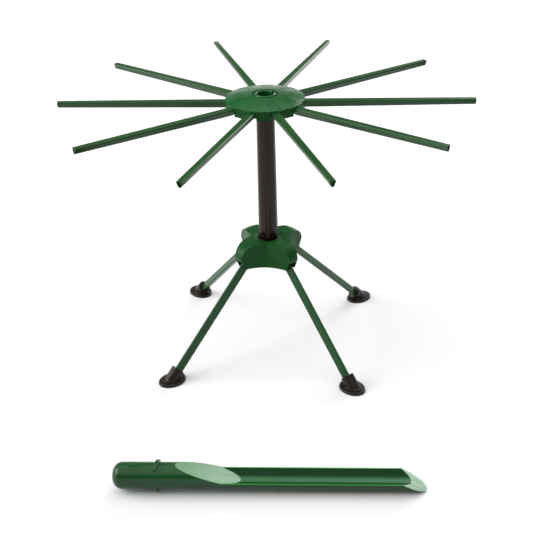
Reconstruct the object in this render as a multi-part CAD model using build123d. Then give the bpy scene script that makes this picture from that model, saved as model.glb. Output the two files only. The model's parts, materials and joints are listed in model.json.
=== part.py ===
from build123d import *
from math import asin, atan, cos, degrees, hypot, radians, sin, tan
import os

# Pasta drying rack: a stand with four folding legs, a column that turns on it, a hub with ten
# folding arms, and a loose wand that lifts the noodles. Millimetres, +Z up, feet at z = 0.

# Places of the main parts. The column stands behind the origin, so that the rack and the wand
# lying in front of it are centred on it together.
COLUMN_Y = 38.0
ARM_COUNT = 10
LEG_COUNT = 4
HEAD_TURN = -2.9  # azimuth of the first arm, degrees
LEG_TURN = 38.1  # azimuth of the first leg, degrees
ARM_PITCH = 360 / ARM_COUNT
LEG_PITCH = 360 / LEG_COUNT

# What is stacked on the floor, from below.
BASE_LIFT = 101.0
BASE_TALL = 26.0
COLUMN_SHOWS = 145.0  # from the base's top to the hub's underside
RIM_TALL = 9.5
DOME_RISE = 4.5

# Clearances.
RUNNING_GAP = 0.05  # pin in its hole, on the radius
TURNING_GAP = 0.1  # column on its spigot and above its ring
STOP_GAP = 0.1  # head of an arm or leg before the wall that stops it
SLOT_GAP = 0.4  # leg head beside its slot wall
PLATE_GAP = 0.3  # plate of an arm head beside its slot wall
END_GAP = 0.2  # end of a pin before the end of its hole
OVERRUN = 2.0  # how far a cut runs past what it cuts

# Column and collar, outwards from the bore that runs down to the base.
BORE_R = 8.2
COLUMN_TOP_WALL = 1.1
SPIGOT_WALL = 0.9
SPIGOT_TALL = 20.0
COLUMN_LOW_WALL = 1.0
COLLAR_RING_TALL = 3.4
COLLAR_LEDGE = 0.2
COLLAR_SEAT_LEDGE = 1.2
COLLAR_SEAT_DEEP = 10.0
PETAL_COUNT = 6
PETAL_TALL = 4.0
PETAL_TIP_HALF = 0.7
PETAL_VALLEY_R = 0.9

# Arms: bars of rounded-triangle section, with a head that lies in a slot of the hub.
ARM_REACH = 210.0
ARM_DROP = 2.1  # flat top of an arm below the rim's top edge
ARM_ROOT_WIDTH = 8.4
ARM_ROOT_DEEP = 7.8
ARM_TIP_WIDTH = 6.2
ARM_TIP_DEEP = 6.4
BAR_CORNER_R = 1.3
BAR_RIDGE_R = 1.7
TIP_RECESS = 2.0
TIP_WALL = 1.0
PIVOT_DROP = 3.0  # trunnions below the rim's top edge
PIVOT_INSET = 6.5  # trunnions from the inner end of the slot
PLATE_LEDGE = 0.9  # how far the head's top plate stands out on each side
HEAD_PLATE_THICK = 1.6
ARM_HEEL_R = 5.2
TRUNNION_R = 2.0
TRUNNION_REACH = 2.0  # how far a trunnion stands in the hub beyond its slot wall
DOME_FLUSH = 0.15  # top of an arm head below the dome

# Hub.
SPOKE_WALL = 3.1  # between the inner ends of two slots
SLOT_LONG = 17.5
SLOT_CORNER_R = 3.6
RIM_SIDES = 2 * ARM_COUNT
SKIRT_WALL = 1.6
SOCKET_WALL = 3.0
SOCKET_LIP_TALL = 0.5
SOCKET_FLANGE_LEDGE = 1.8
SOCKET_FLANGE_THICK = 1.6
GROOVE_WIDE = 2.0
GROOVE_DEEP = 2.0
KEYWAY_WIDTH = 4.4
KEYWAY_DEEP = 1.3
KEYWAY_TURN = 20.0  # azimuth of the first keyway, degrees
KEYWAY_COUNT = 2

# Legs.
LEG_WIDTH = 8.4
LEG_DEEP = 7.8
LEG_SLOPE = 45.0
LEG_PIN_R = 1.5
LEG_PIN_REACH = 3.4

# Base, outwards from the collar's seat.
PLATE_THICK = 2.5
CORE_WALL = 10.4  # between the collar's seat and the leg slots
LEG_PIVOT_RISE = 10.0
WING_OVERHANG = 16.0  # wing's end beyond the leg's pin
SHOULDER_RUN = 15.0
MOUTH_TALL = 12.0
MOUTH_RAKE = 5.5
MOUTH_WALL = 0.8
ROOF_THICK = 2.4
DISH_LEDGE = 4.4
DISH_DEEP = 1.0
VALLEY_WALL = 3.0
VALLEY_FLARE = 4.9  # how far the valleys run out from the top down to the floor side

# Feet.
FOOT_LONG_R = 15.2  # half the oval, along the leg
FOOT_WIDE_R = 12.0
FOOT_SHIFT = 3.1  # centre of a foot inside the point where the leg's axis meets the floor
FLANGE_THICK = 2.8
STEP_WIDE = 3.6
STEP_TALL = 1.6
FOOT_TUBE_WALL = 1.2
FOOT_TUBE_TALL = 11.4
FOOT_FLOOR = 2.0

# Wand.
WAND_R = 12.45
WAND_LONG = 286.0
WAND_MIDDLE_X = -5.4
WAND_TURN = -2.4  # azimuth of the wand, from its handle to its tip, degrees
HANDLE_FLAT_R = 3.65
DIMPLE_AT = 19.7
DIMPLE_R = 6.5
DIMPLE_DEEP = 1.3
LUG_AT = 38.0
LUG_LEAD = 2.6  # how far the lug's helix runs along the wand
LUG_WIDE = 2.6
LUG_TALL = 2.2
LUG_FROM = 56.0
LUG_SWEEP = 80.0
OVAL_START = 57.4
OVAL_SLOPE = 15.6
RIM_ABOVE_AXIS = 0.5
RIM_WALL = 1.2
GUTTER_DEEP = 4.6
TIP_SLOPE = 30.0

# Heights and radii that follow from these.
base_top_z = BASE_LIFT + BASE_TALL
rim_low_z = base_top_z + COLUMN_SHOWS
rim_top_z = rim_low_z + RIM_TALL
crown_z = rim_top_z + DOME_RISE
pivot_z = rim_top_z - PIVOT_DROP
arm_top_z = rim_top_z - ARM_DROP
column_top_r = BORE_R + COLUMN_TOP_WALL
spigot_r = BORE_R + SPIGOT_WALL
column_low_r = spigot_r + TURNING_GAP + COLUMN_LOW_WALL
collar_r = column_low_r + COLLAR_LEDGE
collar_seat_r = collar_r + COLLAR_SEAT_LEDGE
socket_outer_r = BORE_R + SOCKET_WALL
socket_flange_r = socket_outer_r + SOCKET_FLANGE_LEDGE
crown_r = socket_outer_r + GROOVE_WIDE
plate_width = ARM_ROOT_WIDTH + 2 * PLATE_LEDGE
slot_width = plate_width + 2 * PLATE_GAP
slot_inner_r = (slot_width + SPOKE_WALL) / 2 / sin(radians(ARM_PITCH / 2))
arm_pivot_r = slot_inner_r + PIVOT_INSET
rim_apothem = slot_inner_r + SLOT_LONG


def bar_section(width, deep):
    """Rounded triangle: flat top on the X axis, ridge below, as a face in the XY plane."""
    corner = Circle(BAR_CORNER_R)
    side = width / 2 - BAR_CORNER_R
    rounds = [
        Pos(-side, -BAR_CORNER_R) * corner,
        Pos(side, -BAR_CORNER_R) * corner,
        Pos(0, BAR_RIDGE_R - deep) * Circle(BAR_RIDGE_R),
    ]
    return make_hull([one.edge() for one in rounds])


def around(part, azimuth):
    """The part, made along +X, turned about the column."""
    return Rot(0, 0, azimuth) * part


def in_frame(part):
    """The part, made around the Z axis, moved to the column's place."""
    return Pos(0, COLUMN_Y, 0) * part


def side_profile(points, width):
    """A prism of the outline in the XZ plane, centred on it."""
    face = make_face(Polyline(*[(x, 0, z) for x, z in points], close=True))
    return extrude(face, amount=width / 2, dir=(0, 1, 0), both=True)


def polygon_prism(apothem, low, high, first):
    """A regular prism with a flat side at the azimuth given."""
    corner = apothem / cos(radians(180 / RIM_SIDES))
    face = Rot(0, 0, first + 180 / RIM_SIDES) * RegularPolygon(corner, RIM_SIDES)
    return Pos(0, 0, low) * extrude(face, amount=high - low)


def tube(outer, inner, low, high):
    return Pos(0, 0, low) * (
        extrude(Circle(outer), amount=high - low)
        - extrude(Circle(inner), amount=high - low)
    )


def rod(radius, half_long, x, z):
    """A round rod along Y, centred on the XZ plane."""
    return Pos(x, 0, z) * Rot(90, 0, 0) * Cylinder(radius, 2 * half_long)


# Dome: part of a ball through the rim and the crown.
dome_span = rim_apothem**2 - crown_r**2
dome_ball_z = (rim_top_z + crown_z) / 2 - dome_span / (2 * DOME_RISE)
dome_ball_r = hypot(rim_apothem, rim_top_z - dome_ball_z)
dome_ball = Pos(0, 0, dome_ball_z) * Sphere(dome_ball_r)

# Hub: ten slots run in from the rim, with the trunnion holes across them at the pivot height.
slot_plan = Pos(slot_inner_r + SLOT_LONG, 0) * RectangleRounded(
    2 * SLOT_LONG, slot_width, SLOT_CORNER_R
)
slot = Pos(0, 0, rim_low_z - OVERRUN) * extrude(
    slot_plan, amount=crown_z - rim_low_z + 2 * OVERRUN
)
trunnion_half = slot_width / 2 + TRUNNION_REACH
trunnion_hole = rod(
    TRUNNION_R + RUNNING_GAP, trunnion_half + END_GAP, arm_pivot_r, pivot_z
)
hub_cuts = [
    around(slot + trunnion_hole, HEAD_TURN + k * ARM_PITCH) for k in range(ARM_COUNT)
]

column_seat = Pos(0, 0, rim_low_z) * extrude(
    Circle(column_top_r), amount=pivot_z - rim_low_z
)
hub_body = polygon_prism(rim_apothem - SKIRT_WALL, rim_low_z, pivot_z, HEAD_TURN)
hub_body = hub_body - column_seat - hub_cuts

cover = polygon_prism(rim_apothem, rim_low_z, crown_z + OVERRUN, HEAD_TURN)
cover = cover & dome_ball
cover -= polygon_prism(rim_apothem - SKIRT_WALL, rim_low_z, pivot_z, HEAD_TURN)
ring_hole = Pos(0, 0, pivot_z) * extrude(
    Circle(socket_outer_r), amount=crown_z + OVERRUN - pivot_z
)
flange_hole = Pos(0, 0, pivot_z) * extrude(
    Circle(socket_flange_r), amount=SOCKET_FLANGE_THICK
)
groove = Pos(0, 0, crown_z - GROOVE_DEEP) * extrude(
    Circle(crown_r), amount=GROOVE_DEEP + OVERRUN
)
hub_cover = cover - ring_hole - flange_hole - groove - hub_cuts

# Socket ring: a lip rounded to a half torus, a tube down to the column and a flange under the
# cover. Two keyways widen its bore.
lip_r = SOCKET_WALL / 2
lip_z = crown_z + SOCKET_LIP_TALL - lip_r
socket_ring = tube(socket_outer_r, BORE_R, pivot_z, lip_z)
socket_ring += tube(
    socket_flange_r, BORE_R, pivot_z, pivot_z + SOCKET_FLANGE_THICK
)
socket_ring += Pos(0, 0, lip_z) * Torus(BORE_R + lip_r, lip_r)
keyway_r = BORE_R + KEYWAY_DEEP
keyway = Pos(keyway_r / 2, 0, (pivot_z + crown_z) / 2) * Box(
    keyway_r, KEYWAY_WIDTH, crown_z - pivot_z + 2 * OVERRUN
)
socket_ring -= [
    around(keyway, KEYWAY_TURN + k * 360 / KEYWAY_COUNT) for k in range(KEYWAY_COUNT)
]

# Arm: a tapered bar, a wide head that closes its slot, and a trunnion on each side.
root_s = rim_apothem - SKIRT_WALL


def arm_plane(s, z):
    return Plane(origin=(s, 0, z), x_dir=(0, 1, 0), z_dir=(1, 0, 0))


arm_bar = loft(
    [
        arm_plane(root_s, arm_top_z) * bar_section(ARM_ROOT_WIDTH, ARM_ROOT_DEEP),
        arm_plane(ARM_REACH, arm_top_z) * bar_section(ARM_TIP_WIDTH, ARM_TIP_DEEP),
    ],
    ruled=True,
)
recess = bar_section(ARM_TIP_WIDTH - 2 * TIP_WALL, ARM_TIP_DEEP - 2 * TIP_WALL)
recess = arm_plane(ARM_REACH - TIP_RECESS, arm_top_z - TIP_WALL) * recess
arm_bar -= extrude(recess, amount=TIP_RECESS, dir=(1, 0, 0))

head_start = slot_inner_r + STOP_GAP


def head_block(width):
    """What stands in the slot over that width, up to just under the dome."""
    inset = (plate_width - width) / 2
    long = rim_apothem - head_start - inset
    plan = Pos(rim_apothem, 0) * RectangleRounded(
        2 * long, width, SLOT_CORNER_R - PLATE_GAP - inset
    )
    block = extrude(plan, amount=crown_z - rim_low_z)
    return Pos(0, 0, rim_low_z) * block & (
        Pos(0, 0, dome_ball_z) * Sphere(dome_ball_r - DOME_FLUSH)
    )


head_low_z = pivot_z - ARM_HEEL_R
upper_side = side_profile(
    [
        (head_start, pivot_z),
        (rim_apothem, pivot_z),
        (rim_apothem, crown_z),
        (head_start, crown_z),
    ],
    ARM_ROOT_WIDTH,
)
lower_side = side_profile(
    [
        (arm_pivot_r, pivot_z),
        (root_s, pivot_z),
        (root_s, head_low_z),
        (arm_pivot_r, head_low_z),
    ],
    ARM_ROOT_WIDTH,
)
heel = rod(ARM_HEEL_R, ARM_ROOT_WIDTH / 2, arm_pivot_r, pivot_z)
arm_head = (upper_side + lower_side + heel) & head_block(ARM_ROOT_WIDTH)
under_plate = Pos(0, 0, dome_ball_z) * Sphere(dome_ball_r - HEAD_PLATE_THICK)
head_plate = head_block(plate_width) - under_plate
head_plate &= Pos(rim_apothem / 2, 0, crown_z) * Box(
    rim_apothem, 2 * plate_width, 2 * (crown_z - pivot_z)
)
arm_head += head_plate
arm_head += rod(TRUNNION_R, trunnion_half, arm_pivot_r, pivot_z)
arm = arm_bar + arm_head

# Column: a slightly tapered tube, counterbored over the spigot, with a petalled lower edge.
column_low_z = base_top_z + COLLAR_RING_TALL + TURNING_GAP
spigot_top_z = base_top_z + SPIGOT_TALL
petal_valley_z = column_low_z + PETAL_TALL
column = make_face(
    Polyline(
        (BORE_R, 0, pivot_z),
        (column_top_r, 0, pivot_z),
        (column_top_r, 0, rim_low_z),
        (column_low_r, 0, column_low_z),
        (spigot_r + TURNING_GAP, 0, column_low_z),
        (spigot_r + TURNING_GAP, 0, spigot_top_z + TURNING_GAP),
        (BORE_R, 0, spigot_top_z + TURNING_GAP),
        close=True,
    )
)
column = revolve(column, Axis.Z)
petal_pitch = 360 / PETAL_COUNT
petal_half = column_low_r * radians(petal_pitch) / 2
petal_outline = Plane.YZ * make_face(
    Polyline(
        (PETAL_TIP_HALF - petal_half, column_low_z),
        (petal_half - PETAL_TIP_HALF, column_low_z),
        (0, petal_valley_z + PETAL_VALLEY_R),
        close=True,
    )
)
petal_peak = petal_outline.vertices().sort_by(Axis.Z)[-1]
petal_cut = extrude(fillet(petal_peak, PETAL_VALLEY_R), amount=2 * column_low_r)
column -= [
    around(petal_cut, HEAD_TURN - LEG_PITCH + (k + 1 / 2) * petal_pitch)
    for k in range(PETAL_COUNT)
]

collar = tube(collar_r, BORE_R, base_top_z, base_top_z + COLLAR_RING_TALL)
collar += tube(spigot_r, BORE_R, base_top_z, spigot_top_z)
collar += tube(
    collar_seat_r,
    BORE_R,
    base_top_z - DISH_DEEP - COLLAR_SEAT_DEEP,
    base_top_z - DISH_DEEP,
)
collar += tube(collar_r, BORE_R, base_top_z - DISH_DEEP, base_top_z)

# Base: a four-winged plan, cut to a shouldered side outline, with a slot for each leg. Its
# sides meet in folds at the top and run out to plain arcs at the bottom.
leg_half = LEG_DEEP / 2
leg_slot_s = collar_seat_r + CORE_WALL
leg_pivot_s = leg_slot_s + STOP_GAP + leg_half
leg_pivot_z = BASE_LIFT + LEG_PIVOT_RISE
leg_slot_width = LEG_WIDTH + 2 * SLOT_GAP
wing_reach = leg_pivot_s + WING_OVERHANG
wing_end_half = leg_slot_width / 2 + MOUTH_WALL
shoulder_s = wing_reach - SHOULDER_RUN
mouth_top_z = BASE_LIFT + MOUTH_TALL
mouth_low_s = wing_reach - MOUTH_RAKE
dish_r = collar_seat_r + DISH_LEDGE
valley_r = dish_r + VALLEY_WALL

# The arc between two wing ends, seen from the middle of their valley.
half_pitch = radians(LEG_PITCH / 2)
arc_half_chord = wing_reach * sin(half_pitch) - wing_end_half * cos(half_pitch)
arc_rise = wing_reach * cos(half_pitch) + wing_end_half * sin(half_pitch)
arc_rise -= valley_r + VALLEY_FLARE
arc_r = (arc_half_chord**2 + arc_rise**2) / (2 * arc_rise)
arc_half_angle = degrees(asin(arc_half_chord / arc_r))


def polar(radius, azimuth):
    return (radius * cos(radians(azimuth)), radius * sin(radians(azimuth)))


def wing_ends(k):
    """The two corners at the end of one wing."""
    reach = hypot(wing_reach, wing_end_half)
    half = degrees(asin(wing_end_half / reach))
    return polar(reach, k * LEG_PITCH - half), polar(reach, k * LEG_PITCH + half)


def on_arc(k, turn):
    """A point of the arc after one wing, turned from the valley's middle."""
    valley = (k + 1 / 2) * LEG_PITCH
    x, y = polar(valley_r + VALLEY_FLARE + arc_r, valley)
    dx, dy = polar(arc_r, valley + 180 + turn)
    return (x + dx, y + dy)


folded = []
bowed = []
for k in range(LEG_COUNT):
    first, second = wing_ends(k)
    valley = polar(valley_r, (k + 1 / 2) * LEG_PITCH)
    middle = on_arc(k, 0)
    after = wing_ends(k + 1)[0]
    before_middle = on_arc(k, arc_half_angle / 2)
    past_middle = on_arc(k, -arc_half_angle / 2)
    folded += [Line(first, second), Line(second, valley), Line(valley, after)]
    bowed += [
        Line(first, second),
        ThreePointArc(second, before_middle, middle),
        ThreePointArc(middle, past_middle, after),
    ]
star = loft(
    [
        Pos(0, 0, BASE_LIFT) * make_face(bowed),
        Pos(0, 0, base_top_z) * make_face(folded),
    ],
    ruled=True,
)


def star_slice(low, high):
    slab = Box(3 * wing_reach, 3 * wing_reach, high - low)
    return star & (Pos(0, 0, (low + high) / 2) * slab)


outer_side = [
    Line((0, 0, BASE_LIFT), (mouth_low_s, 0, BASE_LIFT)),
    Line((mouth_low_s, 0, BASE_LIFT), (wing_reach, 0, mouth_top_z)),
    TangentArc(
        (shoulder_s, 0, base_top_z), (wing_reach, 0, mouth_top_z), tangent=(1, 0, 0)
    ),
    Line((shoulder_s, 0, base_top_z), (0, 0, base_top_z)),
    Line((0, 0, base_top_z), (0, 0, BASE_LIFT)),
]
outer_round = revolve(make_face(outer_side), Axis.Z)

leg_cos = cos(radians(LEG_SLOPE))
leg_sin = sin(radians(LEG_SLOPE))
leg_roof_z = leg_pivot_z + hypot(leg_half, leg_half) + STOP_GAP
leg_slot = side_profile(
    [
        (leg_slot_s, BASE_LIFT - OVERRUN),
        (leg_slot_s, leg_roof_z),
        (shoulder_s + leg_half, leg_roof_z),
        (wing_reach + OVERRUN, mouth_top_z - ROOF_THICK - OVERRUN),
        (wing_reach + OVERRUN, BASE_LIFT - OVERRUN),
    ],
    leg_slot_width,
)
pin_half = leg_slot_width / 2 + LEG_PIN_REACH
pin_groove = Pos(leg_pivot_s, 0, (BASE_LIFT + leg_pivot_z) / 2) * Box(
    2 * LEG_PIN_R, 2 * (pin_half + END_GAP), LEG_PIVOT_RISE
)
pin_groove += rod(LEG_PIN_R, pin_half + END_GAP, leg_pivot_s, leg_pivot_z)
leg_slots = [around(leg_slot, LEG_TURN + k * LEG_PITCH) for k in range(LEG_COUNT)]
pin_grooves = [around(pin_groove, LEG_TURN + k * LEG_PITCH) for k in range(LEG_COUNT)]

plate_top_z = BASE_LIFT + PLATE_THICK
bore = Pos(0, 0, plate_top_z) * extrude(Circle(BORE_R), amount=BASE_TALL)
collar_low_z = base_top_z - DISH_DEEP - COLLAR_SEAT_DEEP
collar_hole = Pos(0, 0, collar_low_z) * extrude(
    Circle(collar_seat_r), amount=COLLAR_SEAT_DEEP + DISH_DEEP + OVERRUN
)
dish = Pos(0, 0, base_top_z - DISH_DEEP / 2) * Cone(
    collar_seat_r, dish_r, DISH_DEEP
)
base_body = around(star_slice(plate_top_z, base_top_z), LEG_TURN) & outer_round
base_body = base_body - bore - collar_hole - dish - leg_slots - pin_grooves

base_plate = around(star_slice(BASE_LIFT, plate_top_z), LEG_TURN) & outer_round
post_low = (plate_top_z + leg_pivot_z) / 2
post = [
    Pos(leg_pivot_s, side * (leg_slot_width / 2 + LEG_PIN_REACH / 2), post_low)
    * Box(
        2 * LEG_PIN_R - 2 * RUNNING_GAP,
        LEG_PIN_REACH - 2 * RUNNING_GAP,
        leg_pivot_z - plate_top_z,
    )
    for side in (-1, 1)
]
pins = []
posts = []
for k in range(LEG_COUNT):
    azimuth = LEG_TURN + k * LEG_PITCH
    pins.append(around(rod(LEG_PIN_R, pin_half, leg_pivot_s, leg_pivot_z), azimuth))
    posts += [around(one, azimuth) for one in post]
base_plate = base_plate - leg_slots + posts - pins

# Leg: its flat side faces the floor and its ridge faces outward and up.
tan_leg = tan(radians(LEG_SLOPE))
floor_s = leg_pivot_s + leg_pivot_z / tan_leg
leg_start = (leg_pivot_s, 0, leg_pivot_z)
leg_run = (leg_pivot_z - FOOT_FLOOR - leg_half) / leg_sin
leg_plane = Plane(
    origin=leg_start, x_dir=(0, 1, 0), z_dir=(leg_cos, 0, -leg_sin)
)
leg_section = Rot(0, 0, 180) * Pos(0, leg_half) * bar_section(LEG_WIDTH, LEG_DEEP)
leg_section = leg_plane.location * leg_section
leg_bar = extrude(leg_section, amount=leg_run, dir=leg_plane.z_dir)
leg_head = side_profile(
    [
        (leg_pivot_s - leg_half, leg_pivot_z),
        (leg_pivot_s - leg_half, leg_pivot_z + leg_half),
        (leg_pivot_s + leg_half / 2, leg_pivot_z + leg_half),
        (leg_pivot_s + leg_half * leg_cos, leg_pivot_z + leg_half * leg_sin),
        (leg_pivot_s, leg_pivot_z),
    ],
    LEG_WIDTH,
)
leg_head += rod(leg_half, LEG_WIDTH / 2, leg_pivot_s, leg_pivot_z)
leg = leg_bar + leg_head
leg -= rod(LEG_PIN_R + RUNNING_GAP, LEG_WIDTH, leg_pivot_s, leg_pivot_z)

# Foot: a stepped oval flange with a tube that takes the leg's end.
foot_s = floor_s - FOOT_SHIFT
foot = Pos(foot_s, 0, 0) * extrude(Ellipse(FOOT_LONG_R, FOOT_WIDE_R), FLANGE_THICK)
foot = fillet(foot.edges().group_by(Axis.Z)[-1], FLANGE_THICK / 2)
step = Pos(foot_s, 0, FLANGE_THICK) * extrude(
    Ellipse(FOOT_LONG_R - STEP_WIDE, FOOT_WIDE_R - STEP_WIDE), STEP_TALL
)
foot += fillet(step.edges().group_by(Axis.Z)[-1], STEP_TALL / 2)
tube_top = (floor_s - FOOT_TUBE_TALL / tan_leg, 0, FOOT_TUBE_TALL)
foot_tube_r = hypot(LEG_WIDTH / 2, leg_half) + FOOT_TUBE_WALL
foot_tube = extrude(
    Plane(origin=tube_top, x_dir=(0, 1, 0), z_dir=(leg_cos, 0, -leg_sin))
    * Circle(foot_tube_r),
    amount=floor_s,
    dir=(leg_cos, 0, -leg_sin),
)
above_floor = Pos(foot_s, 0, floor_s / 2) * Box(foot_s, foot_s, floor_s)
foot = foot + (foot_tube & above_floor) - leg_bar

# Wand, made along +X with its handle end at the origin, then laid on the floor.
wand = Pos(WAND_LONG / 2, 0, 0) * Rot(0, 90, 0) * Cylinder(WAND_R, WAND_LONG)
wand = fillet(wand.edges().sort_by(Axis.X)[0], WAND_R - HANDLE_FLAT_R)
tan_oval = tan(radians(OVAL_SLOPE))
above_oval = side_profile(
    [
        (OVAL_START, WAND_R),
        (OVAL_START + 2 * WAND_R / tan_oval, -WAND_R),
        (WAND_LONG + WAND_R, -WAND_R),
        (WAND_LONG + WAND_R, 2 * WAND_R),
        (OVAL_START, 2 * WAND_R),
    ],
    3 * WAND_R,
)
above_rims = Pos(WAND_LONG / 2, 0, RIM_ABOVE_AXIS + WAND_R) * Box(
    2 * WAND_LONG, 3 * WAND_R, 2 * WAND_R
)
gutter_half = WAND_R - RIM_WALL
gutter_r = (gutter_half**2 + GUTTER_DEEP**2) / (2 * GUTTER_DEEP)
gutter_z = RIM_ABOVE_AXIS - GUTTER_DEEP + gutter_r
gutter = Pos(WAND_LONG / 2, 0, gutter_z) * Rot(0, 90, 0) * Cylinder(
    gutter_r, 2 * WAND_LONG
)
wand -= above_oval & (above_rims + gutter)
tan_tip = tan(radians(TIP_SLOPE))
wand -= side_profile(
    [
        (WAND_LONG, -WAND_R),
        (WAND_LONG - 2 * WAND_R / tan_tip, WAND_R),
        (WAND_LONG + WAND_R, WAND_R),
        (WAND_LONG + WAND_R, -WAND_R),
    ],
    3 * WAND_R,
)
dimple_ball_r = (DIMPLE_R**2 + DIMPLE_DEEP**2) / (2 * DIMPLE_DEEP)
dimple = Pos(DIMPLE_AT, 0, WAND_R - DIMPLE_DEEP + dimple_ball_r) * Sphere(dimple_ball_r)
wand -= [dimple, Rot(180, 0, 0) * dimple]

# Lugs: short ring sectors, tilted to follow a helix, one on each side of the wand.
lug_face = make_face(
    Polyline(
        (-LUG_WIDE / 2, 0, WAND_R - LUG_TALL),
        (LUG_WIDE / 2, 0, WAND_R - LUG_TALL),
        (LUG_WIDE / 2, 0, WAND_R + LUG_TALL),
        (-LUG_WIDE / 2, 0, WAND_R + LUG_TALL),
        close=True,
    )
)
lug_turn = LUG_FROM + LUG_SWEEP / 2 - 90
helix_slope = degrees(atan(LUG_LEAD / (WAND_R * radians(LUG_SWEEP))))
lug = Rot(-LUG_SWEEP / 2, 0, 0) * revolve(lug_face, Axis.X, revolution_arc=LUG_SWEEP)
lug = Rot(-lug_turn, 0, 0) * Pos(LUG_AT + (LUG_WIDE + LUG_LEAD) / 2, 0, 0) * Rot(
    0, 0, -helix_slope
) * lug
wand += [lug, Rot(180, 0, 0) * lug]

# It lies on its lower lug and its tip, as far in front of the origin as the arms reach behind.
rest_run = WAND_LONG - LUG_AT - LUG_WIDE - LUG_LEAD / 2
rest_tilt = atan(LUG_TALL / rest_run)
arm_azimuths = [HEAD_TURN + k * ARM_PITCH for k in range(ARM_COUNT)]
back_reach = COLUMN_Y + max(ARM_REACH * sin(radians(a)) for a in arm_azimuths)
wand = Rot(0, 0, WAND_TURN) * Rot(0, degrees(rest_tilt), 0) * wand
wand_box = wand.bounding_box()
wand_x = WAND_MIDDLE_X - wand_box.center().X
wand = Pos(wand_x, -back_reach - wand_box.min.Y, -wand_box.min.Z) * wand

nodes = {
    "hub_cover": in_frame(hub_cover),
    "hub_body": in_frame(hub_body),
    "socket_ring": in_frame(socket_ring),
    "column": in_frame(column),
    "column_collar": in_frame(collar),
    "base_body": in_frame(base_body),
    "base_plate": in_frame(base_plate),
    "leg_pins": in_frame(pins[0] + pins[1:]),
    "transfer_wand": wand,
}
for k, azimuth in enumerate(arm_azimuths, 1):
    nodes[f"arm_{k:02d}"] = in_frame(around(arm, azimuth))
for k in range(LEG_COUNT):
    nodes[f"leg_{k + 1}"] = in_frame(around(leg, LEG_TURN + k * LEG_PITCH))
    nodes[f"foot_{k + 1}"] = in_frame(around(foot, LEG_TURN + k * LEG_PITCH))

os.makedirs("parts", exist_ok=True)
for name, shape in nodes.items():
    shape.label = name
    export_step(shape, f"parts/{name}.step")
    print(name, len(shape.solids()), round(shape.volume), shape.bounding_box())
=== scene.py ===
import json
import math

import bmesh
import bpy
from mathutils import Matrix, Vector


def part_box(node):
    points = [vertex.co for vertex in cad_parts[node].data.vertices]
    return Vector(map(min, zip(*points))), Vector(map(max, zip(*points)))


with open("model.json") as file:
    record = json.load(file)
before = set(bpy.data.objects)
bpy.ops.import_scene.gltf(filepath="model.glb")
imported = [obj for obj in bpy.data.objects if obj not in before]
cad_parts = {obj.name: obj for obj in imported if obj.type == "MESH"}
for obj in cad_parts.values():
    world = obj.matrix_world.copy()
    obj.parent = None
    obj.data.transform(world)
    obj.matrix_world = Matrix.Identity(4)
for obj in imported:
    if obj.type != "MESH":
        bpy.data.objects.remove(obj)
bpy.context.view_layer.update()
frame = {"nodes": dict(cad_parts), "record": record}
nodes = frame["nodes"]
scene = bpy.context.scene

# Feet: soft dark brown rubber, moulded as a stepped oval disc with a sleeve that the leg's end is
# pushed into. The skin is fine-grained, and the rounded lips of the steps are painted a little
# paler, a painted highlight.
MM = 0.001
SHARP = math.radians(28)
WELD_GAP = 0.002 * MM
BEVEL_STEPS = 2
SKIN_SLOT = 0
EDGE_HIGHLIGHT_SLOT = 1
NOISE_LOW = 0.3
NOISE_HIGH = 0.7
CLOUDS_PER_M = 38
CLOUD_DARK = 0.86
CLOUD_LIGHT = 1.15
PATCHES_PER_M = 150
PATCH_GLOSSY = 0.82
PATCH_DULL = 1.25
RUBBER = (0.0140, 0.0085, 0.0055)
# Paler rubber for the rounded edges, a painted highlight.
RUBBER_HIGHLIGHT = (0.045, 0.033, 0.024)


def shader(name, colour, roughness, specular=0.5):
    """A new material, its node tree and its Principled shader."""
    material = bpy.data.materials.new(name)
    material.use_nodes = True
    tree = material.node_tree
    principled = tree.nodes["Principled BSDF"]
    principled.inputs["Base Color"].default_value = (*colour, 1)
    principled.inputs["Roughness"].default_value = roughness
    principled.inputs["Specular IOR Level"].default_value = specular
    return material, tree, principled


def shaded(colour, share):
    """The colour made darker or lighter by the share."""
    return tuple(min(1.0, channel * share) for channel in colour)


def noise(tree, per_m, detail=3.0, density=(1, 1, 1), turn=0.0):
    """Noise on the object's own coordinates, with per_m cells in a metre times the density along
    each axis. The axes are turned about Z."""
    place = tree.nodes.new("ShaderNodeTexCoord")
    axes = tree.nodes.new("ShaderNodeMapping")
    axes.vector_type = "TEXTURE"
    axes.inputs["Rotation"].default_value = (0, 0, turn)
    axes.inputs["Scale"].default_value = tuple(1 / one for one in density)
    texture = tree.nodes.new("ShaderNodeTexNoise")
    texture.inputs["Scale"].default_value = per_m
    texture.inputs["Detail"].default_value = detail
    tree.links.new(place.outputs["Object"], axes.inputs["Vector"])
    tree.links.new(axes.outputs["Vector"], texture.inputs["Vector"])
    return texture.outputs["Fac"]


def ranged(tree, value, start, end, low=0.0, high=1.0):
    """A number that goes from low to high while the value goes from start to end."""
    node = tree.nodes.new("ShaderNodeMapRange")
    node.inputs["From Min"].default_value = start
    node.inputs["From Max"].default_value = end
    node.inputs["To Min"].default_value = low
    node.inputs["To Max"].default_value = high
    tree.links.new(value, node.inputs["Value"])
    return node.outputs["Result"]


def spread(tree, value, low=0.0, high=1.0):
    """The noise as a number from low to high."""
    return ranged(tree, value, NOISE_LOW, NOISE_HIGH, low, high)


def blend(tree, share, first, second):
    """From the first colour, at a share of zero, to the second. Each is a colour or a socket."""
    mix = tree.nodes.new("ShaderNodeMix")
    mix.data_type = "RGBA"
    tree.links.new(share, mix.inputs["Factor"])
    for side, colour in (("A", first), ("B", second)):
        if isinstance(colour, tuple):
            mix.inputs[side].default_value = (*colour, 1)
        else:
            tree.links.new(colour, mix.inputs[side])
    return mix.outputs["Result"]


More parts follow.
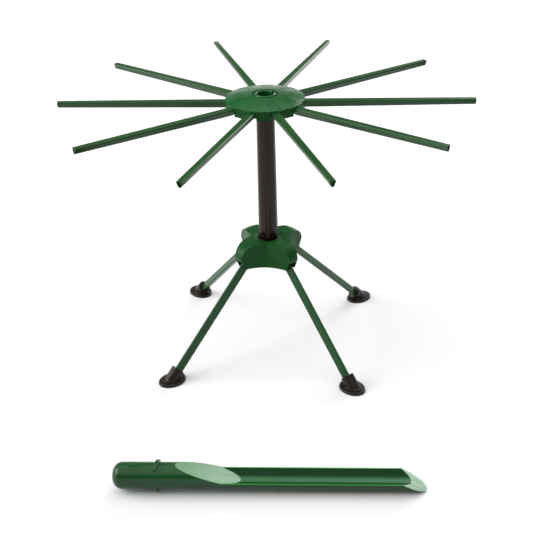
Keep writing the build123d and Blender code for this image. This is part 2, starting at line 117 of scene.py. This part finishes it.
def relief(tree, principled, height, depth):
    """Bumps of the height, as deep as depth, in metres."""
    bump = tree.nodes.new("ShaderNodeBump")
    bump.inputs["Strength"].default_value = 1.0
    bump.inputs["Distance"].default_value = depth
    tree.links.new(height, bump.inputs["Height"])
    tree.links.new(bump.outputs["Normal"], principled.inputs["Normal"])


def moulded(name, colour, roughness, specular, grain, depth, density=(1, 1, 1)):
    """Moulded plastic or rubber: clouded colour, uneven gloss and a fine skin."""
    material, tree, principled = shader(name, colour, roughness, specular)
    clouds = spread(tree, noise(tree, CLOUDS_PER_M, detail=4.0, density=density))
    clouded = blend(tree, clouds, shaded(colour, CLOUD_DARK), shaded(colour, CLOUD_LIGHT))
    patches = noise(tree, PATCHES_PER_M, density=density)
    gloss = spread(tree, patches, roughness * PATCH_GLOSSY, roughness * PATCH_DULL)
    tree.links.new(clouded, principled.inputs["Base Color"])
    tree.links.new(gloss, principled.inputs["Roughness"])
    relief(tree, principled, noise(tree, 1 / grain, detail=2.0), depth)
    return material


def soften(obj, width, angle):
    """Rounds the edges past the angle and shades the rest smooth; the vertices stay as they are."""
    for polygon in obj.data.polygons:
        polygon.use_smooth = True
    weld = obj.modifiers.new("weld", "WELD")
    weld.merge_threshold = WELD_GAP
    bevel = obj.modifiers.new("bevel", "BEVEL")
    bevel.width = width
    bevel.segments = BEVEL_STEPS
    bevel.limit_method = "ANGLE"
    bevel.angle_limit = angle
    # The bevel faces take the part's second material, a paler painted highlight along the rounded
    # edges on all parts but the steel pins.
    bevel.material = EDGE_HIGHLIGHT_SLOT
    normals = obj.modifiers.new("normals", "WEIGHTED_NORMAL")
    normals.keep_sharp = True


def dress(names, skin, edge, width, angle=SHARP):
    """Gives the parts their skin, and their rounded edges the edge material, a paler painted
    highlight where it differs from the skin.
    """
    for name in names:
        obj = nodes[name]
        obj.data.materials.clear()
        obj.data.materials.append(skin)
        obj.data.materials.append(edge)
        soften(obj, width, angle)


def node_names(prefix):
    """The names of the parts that begin with the prefix, in order."""
    return sorted(name for name in nodes if name.startswith(prefix))


rubber = moulded(
    "rubber", RUBBER, roughness=0.34, specular=0.3, grain=0.4 * MM, depth=0.012 * MM
)
# The feet's rounded edges take this paler rubber, a painted highlight.
rubber_painted_highlight = moulded(
    "rubber_painted_highlight", RUBBER_HIGHLIGHT, roughness=0.40, specular=0.3, grain=0.4 * MM, depth=0.012 * MM
)
dress(node_names("foot_"), rubber, rubber_painted_highlight, width=0.35 * MM)

# Legs: bars of rounded-triangle section in green plastic, pushed into the feet and swinging on
# steel pins in the base. The green is satin where it was moulded flat, and its rounded edges are
# painted paler, a painted highlight.
GREEN = (0.006, 0.072, 0.012)
# A paler green that rounded edges take, a painted highlight.
GREEN_HIGHLIGHT = (0.018, 0.150, 0.030)
GREEN_GRAIN = 0.9 * MM
green = moulded(
    "green_plastic", GREEN, roughness=0.24, specular=0.45, grain=GREEN_GRAIN, depth=0.010 * MM
)
# The legs' rounded edges take this paler green, a painted highlight.
green_painted_highlight = moulded(
    "green_painted_highlight", GREEN_HIGHLIGHT, roughness=0.22, specular=0.5, grain=GREEN_GRAIN, depth=0.006 * MM
)
legs = [name for name in node_names("leg_") if name != "leg_pins"]
dress(legs, green, green_painted_highlight, width=0.25 * MM)

# Leg pins: short pieces of drawn steel rod, held in grooves of the base, with fine lines that
# the drawing left along them.
STEEL = (0.52, 0.52, 0.53)
DRAWN_PER_M = 900
steel, steel_tree, steel_shader = shader("steel", STEEL, roughness=0.3)
steel_shader.inputs["Metallic"].default_value = 1.0
drawn = noise(steel_tree, DRAWN_PER_M, detail=2.0, density=(1, 1, 0.12))
steel_gloss = spread(steel_tree, drawn, low=0.22, high=0.38)
steel_tree.links.new(steel_gloss, steel_shader.inputs["Roughness"])
dress(["leg_pins"], steel, steel, width=0.1 * MM)

# Base: a green shell with four slotted wings over a flat plate that closes it from below. Its
# rounded upper rim and the folds of its side walls are painted in paler lines, a painted highlight.
BASE_GREEN = (0.007, 0.082, 0.013)
base_green = moulded(
    "base_green", BASE_GREEN, roughness=0.30, specular=0.16, grain=GREEN_GRAIN, depth=0.010 * MM
)
# The base's rounded edges take the paler green, a painted highlight.
base_painted_highlight = moulded(
    "base_painted_highlight", GREEN_HIGHLIGHT, roughness=0.28, specular=0.3, grain=GREEN_GRAIN, depth=0.006 * MM
)
dress(["base_body"], base_green, base_painted_highlight, width=0.45 * MM)
dress(["base_plate"], base_green, base_painted_highlight, width=0.25 * MM)

# Collar: a bush of black plastic let into the base, whose ring carries the column's lower edge
# and whose spigot the column turns on.
BLACK = (0.0035, 0.0030, 0.0028)
# A paler black that the collar's rounded edges take, a painted highlight.
BLACK_HIGHLIGHT = (0.010, 0.009, 0.008)
black = moulded(
    "black_plastic", BLACK, roughness=0.35, specular=0.12, grain=0.6 * MM, depth=0.010 * MM
)
black_painted_highlight = moulded(
    "black_painted_highlight", BLACK_HIGHLIGHT, roughness=0.30, specular=0.2, grain=0.6 * MM, depth=0.010 * MM
)
dress(["column_collar"], black, black_painted_highlight, width=0.25 * MM)

# Column: a glossy, smoky dark brown plastic tube, set into the hub. Faint streaks run down it from
# the hub to its scalloped lower edge: paler streaks in its colour, a painted reflection, with the
# same streaks in its gloss and bumps. Its rounded edges are painted paler, a painted highlight.
SMOKE = (0.0100, 0.0050, 0.0030)
SMOKE_SHEEN = (0.0420, 0.0250, 0.0160)
STREAKS_PER_M = 420
smoke, smoke_tree, smoke_shader = shader("dark_plastic", SMOKE, roughness=0.12, specular=0.20)
streaks = noise(smoke_tree, STREAKS_PER_M, detail=2.0, density=(1, 1, 0.012))
# The paler streaks in the colour are a painted reflection.
streak_sheen = blend(smoke_tree, spread(smoke_tree, streaks), SMOKE, SMOKE_SHEEN)
smoke_gloss = spread(smoke_tree, streaks, low=0.08, high=0.20)
smoke_tree.links.new(streak_sheen, smoke_shader.inputs["Base Color"])
smoke_tree.links.new(smoke_gloss, smoke_shader.inputs["Roughness"])
relief(smoke_tree, smoke_shader, streaks, depth=0.05 * MM)
# The column's rounded edges take the paler brown, a painted highlight.
smoke_painted_highlight = moulded(
    "dark_painted_highlight", SMOKE_SHEEN, roughness=0.15, specular=0.4, grain=0.6 * MM, depth=0.005 * MM
)
dress(["column"], smoke, smoke_painted_highlight, width=0.2 * MM)

# Hub: a slotted green disc on the column under a domed cover, with the socket's rounded lip in
# the middle, all moulded. The cover's rounded edges round the slots are painted the palest lines of
# the rack, a painted highlight, and the cover's upright sides and the disc under it are painted
# darker than its top, a painted shade.
HUB_GREEN = (0.006, 0.112, 0.020)
# The pale green of the rounded edges, a painted highlight.
HUB_HIGHLIGHT = (0.090, 0.360, 0.130)
# A darker green for upright faces and the disc under the cover, a painted shade.
HUB_SIDE_SHADE = (0.007, 0.074, 0.010)
SIDE_SHADE_SLOT = 2
UPRIGHT = 0.3
hub_green = moulded(
    "hub_green", HUB_GREEN, roughness=0.27, specular=0.40, grain=GREEN_GRAIN, depth=0.010 * MM
)
hub_painted_side_shade = moulded(
    "hub_painted_side_shade", HUB_SIDE_SHADE, roughness=0.32, specular=0.12, grain=GREEN_GRAIN, depth=0.010 * MM
)
hub_painted_highlight = moulded(
    "hub_painted_highlight", HUB_HIGHLIGHT, roughness=0.25, specular=0.5, grain=GREEN_GRAIN, depth=0.006 * MM
)
dress(["hub_body"], hub_painted_side_shade, green_painted_highlight, width=0.2 * MM)
dress(["socket_ring"], hub_green, hub_painted_highlight, width=0.2 * MM)
dress(["hub_cover"], hub_green, hub_painted_highlight, width=0.45 * MM)
hub_cover = nodes["hub_cover"]
hub_cover.data.materials.append(hub_painted_side_shade)
# The cover's upright faces take the darker side green, a painted shade.
for polygon in hub_cover.data.polygons:
    if abs(polygon.normal.z) < UPRIGHT:
        polygon.material_index = SIDE_SHADE_SLOT

# Arms: green bars with their flat side up, each hinged in its own slot of the hub. The head is
# like the hub, and the bar beyond it is darker and glossier, with flow lines from the mould.
ARM_GREEN = (0.009, 0.074, 0.010)
ARM_SKIN_PER_M = 1100
FLOW_PER_M = 260
FLOW_DARK = 0.84
FLOW_LIGHT = 1.18
HEAD_ENDS = 41 * MM
HEAD_FADE = 1.5 * MM
column_low, column_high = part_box("column")
column_y = (column_low.y + column_high.y) / 2


def vector_step(tree, operation, source, *values):
    """The outputs of a vector operation on the source, with the values as its other inputs."""
    node = tree.nodes.new("ShaderNodeVectorMath")
    node.operation = operation
    tree.links.new(source, node.inputs[0])
    for socket, value in zip(node.inputs[1:], values):
        socket.default_value = value
    return node.outputs


def arm_finish(name, turn):
    """Green plastic with flow lines along the arm's own direction, and a hub-green head."""
    material, tree, principled = shader(name, ARM_GREEN, roughness=0.20, specular=0.36)
    flow = noise(tree, FLOW_PER_M, density=(0.05, 1, 1), turn=turn)
    dark = shaded(ARM_GREEN, FLOW_DARK)
    bar = blend(tree, spread(tree, flow), dark, shaded(ARM_GREEN, FLOW_LIGHT))
    place = tree.nodes.new("ShaderNodeTexCoord").outputs["Object"]
    level = vector_step(tree, "MULTIPLY_ADD", place, (1, 1, 0), (0, -column_y, 0))["Vector"]
    reach = vector_step(tree, "LENGTH", level)["Value"]
    beyond = ranged(tree, reach, HEAD_ENDS - HEAD_FADE, HEAD_ENDS + HEAD_FADE)
    tree.links.new(blend(tree, beyond, HUB_GREEN, bar), principled.inputs["Base Color"])
    gloss = spread(tree, flow, low=0.16, high=0.26)
    tree.links.new(gloss, principled.inputs["Roughness"])
    relief(tree, principled, noise(tree, ARM_SKIN_PER_M, detail=2.0), depth=0.008 * MM)
    return material


for arm in node_names("arm_"):
    arm_low, arm_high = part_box(arm)
    arm_middle = (arm_low + arm_high) / 2
    turn = math.atan2(arm_middle.y - column_y, arm_middle.x)
    # The arms' rounded edges take the hub's pale edge green, a painted highlight.
    dress([arm], arm_finish(f"{arm}_green", turn), hub_painted_highlight, width=0.32 * MM)

# Wand: a loose round bar of green plastic, moulded in one with the long gutter along it. The bar
# is glossy. Its two slanted cuts are painted pale with broad streaks, a painted sheen. The gutter's
# thin rims are painted bright, a painted highlight, its walls are painted dark, a painted shade, and
# its bottom is painted paler along the middle, a painted reflection.
WAND_GREEN = (0.007, 0.070, 0.014)
# The wand's rims and rounded edges are painted bright green, a painted highlight.
WAND_RIM_HIGHLIGHT = (0.030, 0.300, 0.040)
# The slanted cuts are painted pale, a painted sheen, with clouds stretched into broad streaks.
WAND_CUT_SHEEN = (0.150, 0.335, 0.170)
CUT_SHEEN_STRETCH = (0.15, 1.2, 1)
WAND_GRAIN = 3.0 * MM
WAND_SHARP = math.radians(14)
CUT_SHEEN_SLOT = 2
CUT_RISE = 0.8
CUT_SLANT = 0.2
PLAIN_LONG = 33.3 * MM
# The gutter's dark walls are a painted shade, and its pale middle a painted reflection.
GUTTER_SHADE = (0.004, 0.042, 0.011)
GUTTER_SHEEN = (0.075, 0.200, 0.095)
GUTTER_SKIN_PER_M = 300
GUTTER_SLOT = 3
GUTTER_RISE = 0.2
SHEEN_HALF = 0.5 * MM
SHADE_FROM = 5.5 * MM
RIM_RISE = 0.99
RIM_LOW = 12.5 * MM
RIM_HIGH = 18 * MM

# The gutter's line runs through the middles of the record's first and last opening.
openings = [opening["box_m"] for opening in frame["record"]["physics"]["openings"]]
gutter_start, gutter_end = (
    (Vector(low) + Vector(high)) / 2 for low, high in (openings[0], openings[-1])
)
wand_along = gutter_end - gutter_start
wand_across = Vector((-wand_along.y, wand_along.x, 0)).normalized()
gutter_middle = gutter_start.dot(wand_across)
plain_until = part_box("transfer_wand")[0].x + PLAIN_LONG


def gutter_sheen_and_shade():
    """Green plastic painted palest along the middle of the gutter, a painted reflection, and dark
    towards its walls, a painted shade.
    """
    material, tree, principled = shader("wand_gutter_painted_light", GUTTER_SHADE, roughness=0.30, specular=0.10)
    place = tree.nodes.new("ShaderNodeTexCoord").outputs["Object"]
    across = vector_step(tree, "DOT_PRODUCT", place, wand_across)["Value"]
    beside = tree.nodes.new("ShaderNodeMath")
    beside.operation = "SUBTRACT"
    beside.inputs[1].default_value = gutter_middle
    away = tree.nodes.new("ShaderNodeMath")
    away.operation = "ABSOLUTE"
    tree.links.new(across, beside.inputs[0])
    tree.links.new(beside.outputs["Value"], away.inputs[0])
    shade_share = ranged(tree, away.outputs["Value"], SHEEN_HALF, SHADE_FROM)
    colour = blend(tree, shade_share, GUTTER_SHEEN, GUTTER_SHADE)
    tree.links.new(colour, principled.inputs["Base Color"])
    skin = noise(tree, GUTTER_SKIN_PER_M, detail=2.0, density=(0.3, 1, 1))
    relief(tree, principled, skin, depth=0.008 * MM)
    return material


def wand_slot(centre, normal):
    """The slot of the finish at the centre of one of the wand's polygons, from its normal."""
    if centre.x < plain_until:
        return SKIN_SLOT
    if normal.z > CUT_RISE and normal.x > CUT_SLANT:
        return CUT_SHEEN_SLOT
    if normal.z > RIM_RISE and RIM_LOW < centre.z < RIM_HIGH:
        return EDGE_HIGHLIGHT_SLOT
    hollow = (centre.dot(wand_across) - gutter_middle) * normal.dot(wand_across) <= 0
    if normal.z > GUTTER_RISE and hollow:
        return GUTTER_SLOT
    return SKIN_SLOT


wand_green = moulded(
    "wand_green", WAND_GREEN, roughness=0.16, specular=0.35, grain=WAND_GRAIN, depth=0.012 * MM
)
# The rim flats and bevels take this bright green, a painted highlight.
wand_rim_painted_highlight = moulded(
    "wand_rim_painted_highlight", WAND_RIM_HIGHLIGHT, roughness=0.15, specular=0.5, grain=WAND_GRAIN, depth=0.006 * MM
)
# The slanted cut faces take this pale green, a painted sheen.
wand_cut_painted_sheen = moulded(
    "wand_cut_painted_sheen",
    WAND_CUT_SHEEN,
    roughness=0.26,
    specular=0.7,
    grain=WAND_GRAIN,
    depth=0.004 * MM,
    density=CUT_SHEEN_STRETCH,
)
dress(["transfer_wand"], wand_green, wand_rim_painted_highlight, width=0.4 * MM, angle=WAND_SHARP)
wand = nodes["transfer_wand"]
wand.data.materials.append(wand_cut_painted_sheen)
wand.data.materials.append(gutter_sheen_and_shade())
for polygon in wand.data.polygons:
    polygon.material_index = wand_slot(polygon.center, polygon.normal)

# Floor and light: a sheet of white paper under a white ceiling, with the room dark above a pale
# horizon. Two large windows, one on the left and one behind on the right, draw the highlights.
FLOOR_HALF = 6.0
PAPER = (0.93, 0.93, 0.93)
PAPER_BOUNCE = (0.27, 0.27, 0.27)
SKY_TOP = 1.3
SKY_RISES = (
    (-1.0, 0.75),
    (0.12, 0.72),
    (0.31, 0.08),
    (0.50, 0.08),
    (0.66, 0.33),
    (0.80, 0.92),
    (1.0, 1.0),
)
LAMP_FAR = 3.0


def seen_directly(tree):
    """One for camera, glossy and transmission rays, and zero for the rest."""
    path = tree.nodes.new("ShaderNodeLightPath")
    seen = path.outputs["Is Camera Ray"]
    for ray in ("Is Glossy Ray", "Is Transmission Ray"):
        larger = tree.nodes.new("ShaderNodeMath")
        larger.operation = "MAXIMUM"
        tree.links.new(seen, larger.inputs[0])
        tree.links.new(path.outputs[ray], larger.inputs[1])
        seen = larger.outputs["Value"]
    return seen


def window(name, azimuth, elevation, size, radiance):
    """A flat light that faces the rack from the azimuth, counted from straight back to the right."""
    lamp = bpy.data.lights.new(name, "AREA")
    lamp.shape = "RECTANGLE"
    lamp.size, lamp.size_y = size
    lamp.energy = radiance * math.pi * size[0] * size[1]
    obj = bpy.data.objects.new(name, lamp)
    scene.collection.objects.link(obj)
    side = math.radians(azimuth)
    lift = math.radians(elevation)
    level = math.cos(lift)
    away = Vector((math.sin(side) * level, math.cos(side) * level, math.sin(lift)))
    obj.location = away * LAMP_FAR
    obj.rotation_euler = away.to_track_quat("Z", "Y").to_euler()


sheet = bmesh.new()
bmesh.ops.create_grid(sheet, x_segments=1, y_segments=1, size=FLOOR_HALF)
floor_mesh = bpy.data.meshes.new("floor")
sheet.to_mesh(floor_mesh)
sheet.free()
floor = bpy.data.objects.new("floor", floor_mesh)
scene.collection.objects.link(floor)
paper, paper_tree, paper_shader = shader("paper", PAPER, roughness=0.8, specular=0.0)
paper_colour = blend(paper_tree, seen_directly(paper_tree), PAPER_BOUNCE, PAPER)
paper_tree.links.new(paper_colour, paper_shader.inputs["Base Color"])
floor_mesh.materials.append(paper)

world = bpy.data.worlds.new("studio")
world.use_nodes = True
sky = world.node_tree
direction = sky.nodes.new("ShaderNodeTexCoord")
split = sky.nodes.new("ShaderNodeSeparateXYZ")
brightness = sky.nodes.new("ShaderNodeValToRGB")
stops = brightness.color_ramp.elements
while len(stops) < len(SKY_RISES):
    stops.new(0.5)
for stop, (rise, share) in zip(stops, SKY_RISES):
    stop.position = (rise + 1) / 2
    stop.color = (share, share, share, 1)
sky.links.new(direction.outputs["Generated"], split.inputs["Vector"])
sky.links.new(ranged(sky, split.outputs["Z"], -1.0, 1.0), brightness.inputs["Fac"])
sky.links.new(brightness.outputs["Color"], sky.nodes["Background"].inputs["Color"])
sky.nodes["Background"].inputs["Strength"].default_value = SKY_TOP
scene.world = world
window("window_left", azimuth=-92, elevation=30, size=(2.6, 1.9), radiance=4.2)
window("window_back", azimuth=32, elevation=24, size=(1.5, 1.6), radiance=5.0)

# Camera: where the photo was taken from, found from the arm tips, the rim, the column and the
# feet. It looks straight back and down, and it is rolled a little.
CAMERA_LENS = 75.22
CAMERA_SENSOR = 36
CAMERA_FAR = 1.2058
CAMERA_ELEVATION = math.radians(28.291)
CAMERA_ROLL = math.radians(-1.524)
AIM_X = -2.96 * MM
AIM_Z = 89.6 * MM
camera_data = bpy.data.cameras.new("camera")
camera_data.sensor_width = CAMERA_SENSOR
camera_data.lens = CAMERA_LENS
camera = bpy.data.objects.new("camera", camera_data)
scene.collection.objects.link(camera)
scene.camera = camera
back = Vector((0, -math.cos(CAMERA_ELEVATION), math.sin(CAMERA_ELEVATION)))
eye = Vector((AIM_X, column_y, AIM_Z)) + back * CAMERA_FAR
tilt = Matrix.Rotation(math.radians(90) - CAMERA_ELEVATION, 4, "X")
roll = Matrix.Rotation(CAMERA_ROLL, 4, "Z")
camera.matrix_world = Matrix.Translation(eye) @ tilt @ roll
scene.view_settings.view_transform = "Standard"
